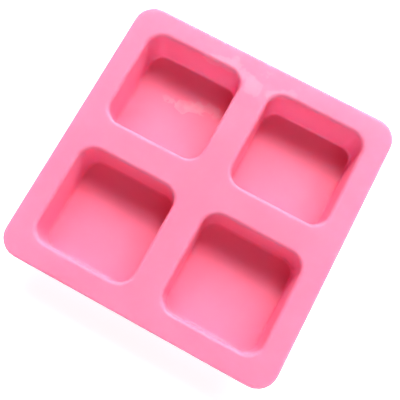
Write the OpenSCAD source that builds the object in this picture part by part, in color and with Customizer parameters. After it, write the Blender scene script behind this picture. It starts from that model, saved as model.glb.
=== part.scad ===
// Silicone soap mould tray: a flat deck with four deep rounded-square cups hanging from it.
// The origin is the centre of the plane that the cups rest on, +Z points up out of the
// cavities, and the front edge lies towards -Y. The whole tray is one moulding: its deck
// and cups are named apart, and they meet face to face with no step at the deck's underside.

/* [Deck] */
// Length of each side of the square deck
deck_side = 165; // [152:1:200]
// Radius of the deck's corners in plan
deck_corner_r = 12; // [4:0.5:20]
// Thickness of the deck, whose outer edge is a full half-round
deck_t = 2.4; // [2.3:0.1:4]

/* [Cavities] */
// Distance between the centres of neighbouring cavities
pitch = 78; // [70:0.5:90]
// Width of a cavity at the deck, up to the sharp corner that its rounded lip replaces
mouth_w = 59.5; // [40:0.5:69]
// Depth of a cavity from the deck to its floor
cavity_depth = 25.5; // [15:0.5:45]
// Lean of the walls from upright, in degrees
draft = 2; // [0.5:0.1:5]
// Radius of a cavity's corners in plan, measured at the deck
mouth_corner_r = 9.5; // [7:0.5:20]
// Radius of the lip between the deck and a cavity
lip_r = 2.2; // [0.5:0.1:2.2]
// Radius between a cavity's walls and its floor
floor_r = 1.5; // [0.5:0.1:3]

/* [Skin] */
// Thickness of the cups' walls
wall_t = 2; // [1.2:0.1:3]
// Thickness of the cups' floors
floor_t = 2; // [1.2:0.1:3]
// Radius of the outside corner between a cup and the underside of the deck
neck_r = 1.5; // [0.5:0.1:2.5]

/* [Hidden] */
$fn = 48;

silicone_pink = [0.98, 0.56, 0.71];
tray_h = cavity_depth + floor_t;
deck_z = tray_h - deck_t;
// Every rounded square is swept round the square that joins its four corner centres.
deck_core = deck_side - 2 * deck_corner_r;
cup_core = mouth_w - 2 * mouth_corner_r;
// How far the leaning outer face stands outside the inner one, measured level
wall_level_t = wall_t / cos(draft);
// The outside of a cup's bottom edge runs concentric with the fillet inside it.
base_r = floor_r + floor_t;
// Height of a cavity's cutter above the deck, so that it leaves no skin
cutter_over = 1;
// Overlap of a fillet's sliver with the section that it adds to or clears
sliver_over = 0.5;
// A fillet's arc is this much over its radius, so that it crosses its walls in a clean edge
// where a true tangent would only graze them.
arc_over = 1.005;

// Distance from the corner centres to a cavity's leaning wall at height z
function wall_at(z) = mouth_corner_r - (tray_h - z) * tan(draft);

// Distance from a wall's sharp corner to where a fillet of radius r begins
function setback(r) = r * tan((90 - draft) / 2);

// Places its children at the cavity in a column (-1 left, 1 right) and row (-1 front, 1 back).
module at_cavity(column, row) {
    translate([column * pitch / 2, row * pitch / 2, 0]) children();
}

// What lies between a fillet and the sharp corner of floor and wall, which is at the origin.
// It reaches past the wall's line by sliver_over, and past the floor's by floor_over.
module fillet_sliver(r, floor_over) {
    on_wall = setback(r) * [sin(draft), cos(draft)];
    centre = [-setback(r), r];
    difference() {
        polygon([
            [-setback(r), -floor_over],
            [sliver_over, -floor_over],
            on_wall + [sliver_over, 0],
            on_wall,
            centre
        ]);
        translate(centre) circle(r * arc_over);
    }
}

// Half section of a cup or cavity: rounded in at its bottom edge and flared out at its top.
// grow is the distance outside the cavity's own wall, and top_over is how far the flare
// reaches above top_z.
module wall_section(grow, bottom_z, top_z, bottom_r, top_r, top_over) {
    bottom_x = wall_at(bottom_z) + grow;
    top_x = wall_at(top_z) + grow;
    difference() {
        polygon([[0, bottom_z], [bottom_x, bottom_z], [top_x, top_z], [0, top_z]]);
        translate([bottom_x, bottom_z]) fillet_sliver(bottom_r, sliver_over);
    }
    translate([top_x, top_z]) rotate(180) fillet_sliver(top_r, top_over);
}

// Sweeps a half section round a square of side core, filled between bottom_z and top_z.
module swept_square(core, bottom_z, top_z) {
    for (quarter = [0:3]) {
        rotate(90 * quarter) translate([core / 2, core / 2, 0]) {
            rotate_extrude(angle = 90) children();
            rotate([90, 0, 0]) linear_extrude(core) children();
        }
    }
    translate([-core / 2, -core / 2, bottom_z]) cube([core, core, top_z - bottom_z]);
}

// The space of one cavity, which runs on above the deck
module cavity_space() {
    swept_square(cup_core, floor_t, tray_h + cutter_over) {
        wall_section(0, floor_t, tray_h, floor_r, lip_r, cutter_over);
        translate([0, tray_h - sliver_over]) square([mouth_corner_r, sliver_over + cutter_over]);
    }
}

// Flat deck with a half-round outer edge and a rounded lip round each cavity
module deck() {
    edge_r = deck_t / 2;
    color(silicone_pink) difference() {
        swept_square(deck_core, deck_z, tray_h) {
            translate([0, deck_z]) square([deck_corner_r - edge_r, deck_t]);
            translate([deck_corner_r - edge_r, deck_z + edge_r]) circle(edge_r);
        }
        for (column = [-1, 1], row = [-1, 1]) at_cavity(column, row) cavity_space();
    }
}

// One cup below the deck: leaning walls, a flat floor and a flared neck
module cup(column, row) {
    color(silicone_pink) at_cavity(column, row) difference() {
        swept_square(cup_core, 0, deck_z) {
            wall_section(wall_level_t, 0, deck_z, base_r, neck_r, 0);
        }
        cavity_space();
    }
}

deck();
cup(-1, -1);  // cup_front_left
cup(1, -1);  // cup_front_right
cup(-1, 1);  // cup_back_left
cup(1, 1);  // cup_back_right
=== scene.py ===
"""Looks of a pink silicone soap mould tray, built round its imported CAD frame. Metres, +Z up.

One continuous skin stands for the deck and the four cups, because the real tray is one moulding."""
import math

import bmesh
import bpy
from mathutils import Matrix, Vector, noise


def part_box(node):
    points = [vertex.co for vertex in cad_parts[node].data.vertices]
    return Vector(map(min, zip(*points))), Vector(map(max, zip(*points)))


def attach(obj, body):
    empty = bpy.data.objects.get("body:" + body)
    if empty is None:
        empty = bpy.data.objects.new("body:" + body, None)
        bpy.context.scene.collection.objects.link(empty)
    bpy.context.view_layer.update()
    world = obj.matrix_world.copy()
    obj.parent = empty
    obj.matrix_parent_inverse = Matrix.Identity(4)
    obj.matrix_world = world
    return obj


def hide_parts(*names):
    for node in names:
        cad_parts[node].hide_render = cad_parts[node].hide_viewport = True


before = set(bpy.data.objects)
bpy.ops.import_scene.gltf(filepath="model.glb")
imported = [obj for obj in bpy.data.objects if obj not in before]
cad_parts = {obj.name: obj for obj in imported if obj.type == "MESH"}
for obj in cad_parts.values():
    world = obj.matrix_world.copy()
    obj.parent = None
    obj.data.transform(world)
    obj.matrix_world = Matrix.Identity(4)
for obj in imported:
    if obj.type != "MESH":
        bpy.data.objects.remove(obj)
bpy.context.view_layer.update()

MM = 0.001
CUPS = ["cup_front_left", "cup_front_right", "cup_back_left", "cup_back_right"]

# ---- Sizes read from the frame ----
deck_low, deck_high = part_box("deck")
cup_low, cup_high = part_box("cup_back_right")
HALF = deck_high.x
WIDTH = 2 * HALF
DECK_TOP = deck_high.z
DECK_UNDER = deck_low.z
CUP_CENTRE = (cup_low.x + cup_high.x) / 2

# ---- Section of the moulding, as in the CAD ----
DRAFT = math.radians(2.0)
MOUTH_HALF = 29.75 * MM
MOUTH_CORNER_R = 9.5 * MM
CORE = MOUTH_HALF - MOUTH_CORNER_R
LIP_R = 2.2 * MM
NECK_R = 1.5 * MM
FLOOR_R = 1.5 * MM
FLOOR_T = 2.0 * MM
WALL_T = 2.0 * MM / math.cos(DRAFT)
BASE_R = FLOOR_R + FLOOR_T
DECK_CORNER_R = 12.0 * MM
EDGE_R = (DECK_TOP - DECK_UNDER) / 2

# ---- Mesh density ----
SIDE_STEPS = 16
CORNER_STEPS = 14
WALL_STEPS = 10
FILLET_STEPS = 6
EDGE_STEPS = 10
FLOOR_RINGS = (0.1, 0.3, 0.5, 0.7, 0.86, 0.96)
DECK_RINGS = (0.05, 0.15, 0.3, 0.45, 0.6, 0.75, 0.88, 0.96)
# Points of mirrored quarters that are closer than this are joined.
WELD_DISTANCE = 0.01 * MM

# ---- Softness of the silicone ----
DECK_WAVE = 0.35 * MM
DECK_WAVE_LENGTH = 55 * MM
DECK_WAVE_SHIFT = Vector((3.1, 7.7, 0.4))
WALL_BOW = 0.35 * MM
WALL_BOW_LENGTH = 40 * MM
WALL_BOW_SHIFT = Vector((1.7, 4.2, 9.3))
RIM_DROOP = 0.22 * MM
RIM_DROOP_WIDTH = 5 * MM
# Without a seed, noise_vector starts from the clock and bows the walls anew in every run.
NOISE_SEED = 1


# ---------------------------------------------------------------- shape
def arc(centre, radius, start, end, steps):
    """(distance, height) points along an arc, both ends included. Angles are in degrees."""
    points = []
    for i in range(steps + 1):
        a = math.radians(start + (end - start) * i / steps)
        points.append((centre[0] + radius * math.cos(a), centre[1] + radius * math.sin(a)))
    return points


def wall_section(grow, low_z, high_z, low_r, high_r):
    """Half section of one face of a cup: bottom fillet, leaning wall and the flare at its top.

    A point's distance is measured from the square that joins the cup's corner centres."""
    lean = math.degrees(DRAFT)
    reach = math.tan((math.pi / 2 - DRAFT) / 2)

    def wall(z):
        return MOUTH_CORNER_R + grow - (DECK_TOP - z) * math.tan(DRAFT)

    low_centre = (wall(low_z) - low_r * reach, low_z + low_r)
    high_centre = (wall(high_z) + high_r * reach, high_z - high_r)
    low_arc = arc(low_centre, low_r, -90, -lean, FILLET_STEPS)
    high_arc = arc(high_centre, high_r, 180 - lean, 90, FILLET_STEPS)
    foot, head = low_arc[-1], high_arc[0]
    rise = []
    for i in range(1, WALL_STEPS):
        t = i / WALL_STEPS
        rise.append((foot[0] + (head[0] - foot[0]) * t, foot[1] + (head[1] - foot[1]) * t))
    return low_arc + rise + high_arc


def rounded_loop(half, radius, z):
    """Points round a rounded square about the cup's centre, from the low end of its right side."""
    straight = half - radius
    points = []
    for quarter in range(4):
        turn = Matrix.Rotation(quarter * math.pi / 2, 2)
        ring = [Vector((half, straight * (2 * i / SIDE_STEPS - 1))) for i in range(SIDE_STEPS)]
        for x, y in arc((straight, straight), radius, 0, 90, CORNER_STEPS)[:-1]:
            ring.append(Vector((x, y)))
        for p in ring:
            q = turn @ p
            points.append(Vector((CUP_CENTRE + q.x, CUP_CENTRE + q.y, z)))
    return points


def stations(start, end, steps):
    """Points from start up to but without end."""
    return [Vector(start).lerp(Vector(end), i / steps) for i in range(steps)]


def quarter_outline(z):
    """The border of the deck's back right quarter, point for point beside rounded_loop.

    The outer border stands EDGE_R inside the deck's edge, where its half-round begins."""
    near, far = CUP_CENTRE - CORE, CUP_CENTRE + CORE
    rim = HALF - EDGE_R
    turn = HALF - DECK_CORNER_R
    half_corner = CORNER_STEPS // 2
    lead = CORNER_STEPS // 4 + 1
    bend = CORNER_STEPS - 2 * lead
    path = stations((rim, near), (rim, far), SIDE_STEPS)
    path += stations((rim, far), (rim, turn), lead)
    path += [Vector(p) for p in arc((turn, turn), DECK_CORNER_R - EDGE_R, 0, 90, bend)[:-1]]
    path += stations((turn, rim), (far, rim), lead)
    path += stations((far, rim), (near, rim), SIDE_STEPS)
    path += stations((near, rim), (0, rim), half_corner)
    path += stations((0, rim), (0, far), half_corner)
    path += stations((0, far), (0, near), SIDE_STEPS)
    path += stations((0, near), (0, 0), half_corner)
    path += stations((0, 0), (near, 0), half_corner)
    path += stations((near, 0), (far, 0), SIDE_STEPS)
    path += stations((far, 0), (rim, 0), half_corner)
    path += stations((rim, 0), (rim, near), half_corner)
    return [Vector((p.x, p.y, z)) for p in path]


def outward(p):
    """Unit direction out of the deck's edge beside a point of its border."""
    turn = HALF - DECK_CORNER_R
    way = Vector((max(p.x - turn, 0), max(p.y - turn, 0), 0))
    return way.normalized()


def bridge(bm, lower, upper):
    """Quads between two closed rings of vertices."""
    n = len(lower)
    for i in range(n):
        j = (i + 1) % n
        bm.faces.new((lower[i], lower[j], upper[j], upper[i]))


def quarter_face(bm, section, floor_z, deck_z):
    """One face of a quarter of the tray, from the middle of its floor out to the border."""
    first = section[0]
    rings = []
    for share in FLOOR_RINGS:
        rings.append(rounded_loop((CORE + first[0]) * share, first[0] * share, floor_z))
    rings += [rounded_loop(CORE + d, d, z) for d, z in section]
    mouth, border = rings[-1], quarter_outline(deck_z)
    for share in DECK_RINGS:
        rings.append([a.lerp(b, share) for a, b in zip(mouth, border)])
    rings.append(border)
    made = [[bm.verts.new(p) for p in ring] for ring in rings]
    bm.faces.new(made[0])
    for inner, outer in zip(made, made[1:]):
        bridge(bm, inner, outer)
    return made[-1]


def quarter_edge(bm, top, under):
    """The half-round edge along the outer border, from the deck's top to its underside."""
    start = len(top) - CORNER_STEPS // 2
    count = 2 * (CORNER_STEPS // 2) + 2 * SIDE_STEPS + CORNER_STEPS + 1
    middle_z = (DECK_TOP + DECK_UNDER) / 2
    columns = []
    for k in range(count):
        i = (start + k) % len(top)
        column = [top[i]]
        for reach, rise in arc((0, 0), EDGE_R, 90, -90, EDGE_STEPS)[1:-1]:
            p = top[i].co + outward(top[i].co) * reach
            column.append(bm.verts.new((p.x, p.y, middle_z + rise)))
        columns.append(column + [under[i]])
    for a, b in zip(columns, columns[1:]):
        for i in range(EDGE_STEPS):
            bm.faces.new((a[i], a[i + 1], b[i + 1], b[i]))


def rim_share(p):
    """0 inside the deck, rising to 1 at its outer edge."""
    turn = HALF - DECK_CORNER_R
    x, y = abs(p.x) - turn, abs(p.y) - turn
    inside = DECK_CORNER_R - math.hypot(max(x, 0), max(y, 0)) - min(max(x, y), 0)
    return min(max(1 - inside / RIM_DROOP_WIDTH, 0), 1)


def settle(p):
    """Moves a point as the soft tray sags: a wavy deck, a drooping rim and bowed walls."""
    rise = p.z / DECK_TOP
    share = min(max(p.z / DECK_UNDER, 0), 1)
    flat = Vector((p.x, p.y, 0))
    wave = noise.noise(flat / DECK_WAVE_LENGTH + DECK_WAVE_SHIFT)
    drop = DECK_WAVE * (0.5 + 0.5 * wave) + RIM_DROOP * rim_share(p) ** 2
    bow = noise.noise_vector(p / WALL_BOW_LENGTH + WALL_BOW_SHIFT)
    bulge = WALL_BOW * math.sin(math.pi * share)
    return Vector((p.x + bow.x * bulge, p.y + bow.y * bulge, p.z - drop * rise * rise))


def build_skin():
    """The tray's one continuous skin."""
    inside = wall_section(0, FLOOR_T, DECK_TOP, FLOOR_R, LIP_R)
    outside = wall_section(WALL_T, 0, DECK_UNDER, BASE_R, NECK_R)
    bm = bmesh.new()
    top = quarter_face(bm, inside, FLOOR_T, DECK_TOP)
    under = quarter_face(bm, outside, 0, DECK_UNDER)
    quarter_edge(bm, top, under)
    for mirror in (Vector((-1, 1, 1)), Vector((1, -1, 1))):
        copy = bmesh.ops.duplicate(bm, geom=bm.verts[:] + bm.edges[:] + bm.faces[:])
        for item in copy["geom"]:
            if isinstance(item, bmesh.types.BMVert):
                item.co = item.co * mirror
        bmesh.ops.remove_doubles(bm, verts=bm.verts[:], dist=WELD_DISTANCE)
    noise.seed_set(NOISE_SEED)
    for vert in bm.verts:
        vert.co = settle(vert.co)
    bmesh.ops.recalc_face_normals(bm, faces=bm.faces[:])
    mesh = bpy.data.meshes.new("silicone_tray")
    bm.to_mesh(mesh)
    bm.free()
    mesh.polygons.foreach_set("use_smooth", [True] * len(mesh.polygons))
    tray = bpy.data.objects.new("silicone_tray", mesh)
    bpy.context.scene.collection.objects.link(tray)
    return tray


# ---------------------------------------------------------------- material
PINK = (0.985, 0.232, 0.382, 1)
PINK_DEEP = (0.985, 0.22, 0.366, 1)
# Pale pink that the painted reflection and the painted highlight blend towards
PAINTED_HIGHLIGHT_PINK = (0.92, 0.56, 0.68, 1)
SATIN = 0.62
GLOSSY = 0.36
SILICONE_IOR = 1.41
# How far light scatters inside the rubber, and the share of that for red, green and blue
SCATTER_REACH = 7 * MM
SCATTER_SHARES = (0.24, 0.9, 0.85)

# Places of a painted reflection on the back left cavity's floor and of a painted highlight on the
# back of the deck: middle, half sizes and turn in plan
PAINTED_FLOOR_REFLECTION = (Vector((-34, 46, 2)) * MM, Vector((17, 5, 5)) * MM, math.radians(12))
PAINTED_BACK_HIGHLIGHT = (Vector((-22, 66.5, 27)) * MM, Vector((36, 8.5, 5)) * MM, math.radians(3))
# Size of the tatters along the border of the painted reflection and of the painted highlight, and
# how deep they cut
PAINTED_FLOOR_REFLECTION_BORDER = (10 * MM, 0.6)
PAINTED_BACK_HIGHLIGHT_BORDER = (12 * MM, 0.5)
# How far the painted reflection and the painted highlight turn the pink towards the pale highlight
# pink
PAINTED_FLOOR_REFLECTION_PALENESS = 0.32
PAINTED_BACK_HIGHLIGHT_PALENESS = 0.13

# Sizes of the noises that the surface varies with
MOTTLE_SIZE = 22 * MM
# Size of the noise that breaks up the painted reflection
REFLECTION_BREAKUP_SIZE = 5 * MM
HANDLED_SIZE = 30 * MM
GRAIN_SIZE = 0.9 * MM
GRAIN_DEPTH = 0.02 * MM
RIPPLE_SIZE = 14 * MM
RIPPLE_DEPTH = 0.25 * MM
BUMP_STRENGTH = 0.5


def plug(tree, socket, value):
    """Sets an input to a value, or links it where the value is another node's output."""
    if isinstance(value, bpy.types.NodeSocket):
        tree.links.new(value, socket)
    else:
        socket.default_value = value


def wire(tree, kind, **inputs):
    """A new node of a kind with its inputs set or linked."""
    node = tree.nodes.new("ShaderNode" + kind)
    for name, value in inputs.items():
        plug(tree, node.inputs[name], value)
    return node


def noise_value(tree, place, size, detail):
    """Soft noise whose features are about size metres across."""
    node = wire(tree, "TexNoise", Vector=place, Scale=1 / size, Detail=detail)
    return node.outputs["Fac"]


def remap(tree, value, low, high, first, second):
    """Smoothly turns low..high into first..second."""
    node = tree.nodes.new("ShaderNodeMapRange")
    node.interpolation_type = "SMOOTHSTEP"
    tree.links.new(value, node.inputs["Value"])
    node.inputs["From Min"].default_value = low
    node.inputs["From Max"].default_value = high
    node.inputs["To Min"].default_value = first
    node.inputs["To Max"].default_value = second
    return node.outputs["Result"]


def maths(tree, operation, first, second=0.0):
    """The result of one arithmetic step."""
    node = tree.nodes.new("ShaderNodeMath")
    node.operation = operation
    for socket, value in zip(node.inputs, (first, second)):
        plug(tree, socket, value)
    return node.outputs["Value"]


def blend_colour(tree, factor, first, second):
    """first where factor is 0, turning to second where it is 1."""
    node = tree.nodes.new("ShaderNodeMix")
    node.data_type = "RGBA"
    tree.links.new(factor, node.inputs["Factor"])
    colours = [socket for socket in node.inputs if socket.type == "RGBA"]
    for socket, value in zip(colours, (first, second)):
        plug(tree, socket, value)
    return [socket for socket in node.outputs if socket.type == "RGBA"][0]


def ragged_patch(tree, place, patch, edge_size, raggedness):
    """1 inside an oval patch with a ragged border, 0 outside it."""
    middle, halves, turn = patch
    local = tree.nodes.new("ShaderNodeMapping")
    local.vector_type = "TEXTURE"
    tree.links.new(place, local.inputs["Vector"])
    local.inputs["Location"].default_value = middle
    local.inputs["Rotation"].default_value = (0, 0, turn)
    local.inputs["Scale"].default_value = halves
    length = tree.nodes.new("ShaderNodeVectorMath")
    length.operation = "LENGTH"
    tree.links.new(local.outputs["Vector"], length.inputs[0])
    border = noise_value(tree, place, edge_size, 3.0)
    ragged = remap(tree, border, 0.3, 0.7, -raggedness, raggedness)
    reach = maths(tree, "ADD", length.outputs["Value"], ragged)
    return remap(tree, reach, 0.75, 0.95, 1.0, 0.0)


def silicone_material():
    """Soft pink silicone: light sinks in, spreads and glows through the thin walls. A painted
    reflection on one cavity floor and a painted highlight on the back of the deck are blended into
    its colour.
    """
    material = bpy.data.materials.new("silicone")
    material.use_nodes = True
    tree = material.node_tree
    shader = tree.nodes["Principled BSDF"]
    place = tree.nodes.new("ShaderNodeTexCoord").outputs["Object"]

    mottle = remap(tree, noise_value(tree, place, MOTTLE_SIZE, 3.0), 0.35, 0.65, 0.0, 1.0)
    pink = blend_colour(tree, mottle, PINK_DEEP, PINK)
    # Painted reflection: the back left cavity's floor is painted paler where the light's reflection
    # falls, and is also made glossier
    floor_reflection = ragged_patch(tree, place, PAINTED_FLOOR_REFLECTION, *PAINTED_FLOOR_REFLECTION_BORDER)
    reflection_breakup = remap(tree, noise_value(tree, place, REFLECTION_BREAKUP_SIZE, 3.0), 0.35, 0.65, 0.45, 1.0)
    floor_reflection = maths(tree, "MULTIPLY", floor_reflection, reflection_breakup)
    # Painted highlight: a ragged pale patch on the back of the deck where the back soft box's
    # reflection falls, also made glossier
    back = ragged_patch(tree, place, PAINTED_BACK_HIGHLIGHT, *PAINTED_BACK_HIGHLIGHT_BORDER)
    floor_reflection_paleness = maths(tree, "MULTIPLY", floor_reflection, PAINTED_FLOOR_REFLECTION_PALENESS)
    back_highlight_paleness = maths(tree, "MULTIPLY", back, PAINTED_BACK_HIGHLIGHT_PALENESS)
    # Paleness of the painted reflection and the painted highlight
    painted_light_paleness = maths(tree, "MAXIMUM", floor_reflection_paleness, back_highlight_paleness)
    colour = blend_colour(tree, painted_light_paleness, pink, PAINTED_HIGHLIGHT_PINK)
    tree.links.new(colour, shader.inputs["Base Color"])

    handled = remap(tree, noise_value(tree, place, HANDLED_SIZE, 2.0), 0.46, 0.56, 0.0, 0.3)
    gloss = maths(tree, "MAXIMUM", maths(tree, "MAXIMUM", handled, back), floor_reflection)
    roughness = remap(tree, gloss, 0.0, 1.0, SATIN, GLOSSY)
    tree.links.new(roughness, shader.inputs["Roughness"])

    grain = wire(tree, "Bump", Strength=BUMP_STRENGTH, Distance=GRAIN_DEPTH,
                 Height=noise_value(tree, place, GRAIN_SIZE, 2.0))
    ripple = wire(tree, "Bump", Strength=BUMP_STRENGTH, Distance=RIPPLE_DEPTH,
                  Height=noise_value(tree, place, RIPPLE_SIZE, 1.0),
                  Normal=grain.outputs["Normal"])
    tree.links.new(ripple.outputs["Normal"], shader.inputs["Normal"])

    shader.inputs["IOR"].default_value = SILICONE_IOR
    shader.inputs["Subsurface Weight"].default_value = 1.0
    shader.inputs["Subsurface Radius"].default_value = SCATTER_SHARES
    shader.inputs["Subsurface Scale"].default_value = SCATTER_REACH
    return material


# ---------------------------------------------------------------- stage
FLOOR_REACH = 20 * WIDTH
FLOOR_COLOUR = (0.85, 0.85, 0.85, 1)
FLOOR_ROUGHNESS = 0.9
# The table glows round the tray, and hardly at all below it.
FLOOR_GLOW = (0.75, 0.75, 0.75, 1)
UNDER_GLOW = (0.06, 0.06, 0.06, 1)
# The glow turns from one to the other between these distances from the tray's middle.
GLOW_INNER = 0.88 * HALF
GLOW_OUTER = 1.01 * HALF


def build_floor():
    """A plain pale table that glows a little, so that the tray's shadow stays light."""
    mesh = bpy.data.meshes.new("floor")
    corners = [(x, y, 0) for x, y in ((-1, -1), (1, -1), (1, 1), (-1, 1))]
    corners = [Vector(corner) * FLOOR_REACH for corner in corners]
    mesh.from_pydata(corners, [], [(0, 1, 2, 3)])
    floor = bpy.data.objects.new("floor", mesh)
    bpy.context.scene.collection.objects.link(floor)
    material = bpy.data.materials.new("floor")
    material.use_nodes = True
    tree = material.node_tree
    shader = tree.nodes["Principled BSDF"]
    shader.inputs["Base Color"].default_value = FLOOR_COLOUR
    shader.inputs["Roughness"].default_value = FLOOR_ROUGHNESS
    place = tree.nodes.new("ShaderNodeTexCoord").outputs["Object"]
    split = wire(tree, "SeparateXYZ", Vector=place)
    across = maths(tree, "ABSOLUTE", split.outputs["X"])
    along = maths(tree, "ABSOLUTE", split.outputs["Y"])
    distance = maths(tree, "MAXIMUM", across, along)
    beyond = remap(tree, distance, GLOW_INNER, GLOW_OUTER, 0.0, 1.0)
    glow = blend_colour(tree, beyond, UNDER_GLOW, FLOOR_GLOW)
    tree.links.new(glow, shader.inputs["Emission Color"])
    shader.inputs["Emission Strength"].default_value = 1.0
    mesh.materials.append(material)


# Camera of a hand-held close-up, looking steeply down from the front and a little to the right
CAMERA_AZIMUTH = math.radians(23.7)
CAMERA_ELEVATION = math.radians(77.5)
CAMERA_ROLL = math.radians(4.8)
CAMERA_DISTANCE = 2.047 * WIDTH
CAMERA_TARGET = Vector((0.0158 * WIDTH, -0.0472 * WIDTH, DECK_TOP))
CAMERA_LENS = 55.55
CAMERA_SENSOR = 36
CAMERA_CLIP_START = 0.01

LIGHT_DISTANCE = 5.0
# Each soft box: name, azimuth and elevation in degrees, width and height in metres, and power
# in watts
SOFT_BOXES = (
    ("back_left", 205, 39, 2.0, 2.0, 162),
    ("back_right", 155, 39, 2.0, 2.0, 162),
    ("back", 180, 53, 1.8, 1.4, 140),
    ("back_high", 191, 64, 1.0, 0.75, 12),
    ("front", 0, 22, 2.5, 2.0, 21),
    ("right", 30, 44, 2.0, 2.0, 30),
)
# The studio's walls are pale up to a height, and dim above it. A height is the sine of an
# elevation.
WALLS_TOP = 0.1
CEILING_START = 0.45
WALLS_STRENGTH = 0.5
CEILING_STRENGTH = 0.03


def direction(azimuth, elevation):
    """Unit vector from the tray towards a place seen at that azimuth (0 in front, +X side
    positive) and elevation."""
    level = math.cos(elevation)
    return Vector((math.sin(azimuth) * level, -math.cos(azimuth) * level, math.sin(elevation)))


def build_camera():
    """The camera, which the scene is seen through."""
    data = bpy.data.cameras.new("camera")
    data.lens = CAMERA_LENS
    data.sensor_width = CAMERA_SENSOR
    data.clip_start = CAMERA_CLIP_START
    camera = bpy.data.objects.new("camera", data)
    bpy.context.scene.collection.objects.link(camera)
    back = direction(CAMERA_AZIMUTH, CAMERA_ELEVATION)
    turn = back.to_track_quat("Z", "Y").to_matrix() @ Matrix.Rotation(CAMERA_ROLL, 3, "Z")
    place = CAMERA_TARGET + back * CAMERA_DISTANCE
    camera.matrix_world = Matrix.Translation(place) @ turn.to_4x4()
    bpy.context.scene.camera = camera


def area_light(name, azimuth, elevation, width, height, power):
    """A rectangular soft box LIGHT_DISTANCE away, facing the tray."""
    data = bpy.data.lights.new(name, "AREA")
    data.shape = "RECTANGLE"
    data.size = width
    data.size_y = height
    data.energy = power
    lamp = bpy.data.objects.new(name, data)
    bpy.context.scene.collection.objects.link(lamp)
    way = direction(math.radians(azimuth), math.radians(elevation))
    turn = way.to_track_quat("Z", "Y").to_matrix()
    lamp.matrix_world = Matrix.Translation(way * LIGHT_DISTANCE) @ turn.to_4x4()


def build_lights():
    """Three broad soft boxes behind the tray, a small high one, weak fill and a pale studio."""
    for box in SOFT_BOXES:
        area_light(*box)
    world = bpy.data.worlds.new("studio")
    world.use_nodes = True
    tree = world.node_tree
    background = tree.nodes["Background"]
    background.inputs["Color"].default_value = (1, 1, 1, 1)
    way = tree.nodes.new("ShaderNodeTexCoord").outputs["Generated"]
    height = wire(tree, "SeparateXYZ", Vector=way).outputs["Z"]
    strength = remap(tree, height, WALLS_TOP, CEILING_START, WALLS_STRENGTH, CEILING_STRENGTH)
    tree.links.new(strength, background.inputs["Strength"])
    bpy.context.scene.world = world
    bpy.context.scene.view_settings.view_transform = "Standard"


tray = build_skin()
tray.data.materials.append(silicone_material())
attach(tray, "root")
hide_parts("deck", *CUPS)
build_floor()
build_camera()
build_lights()
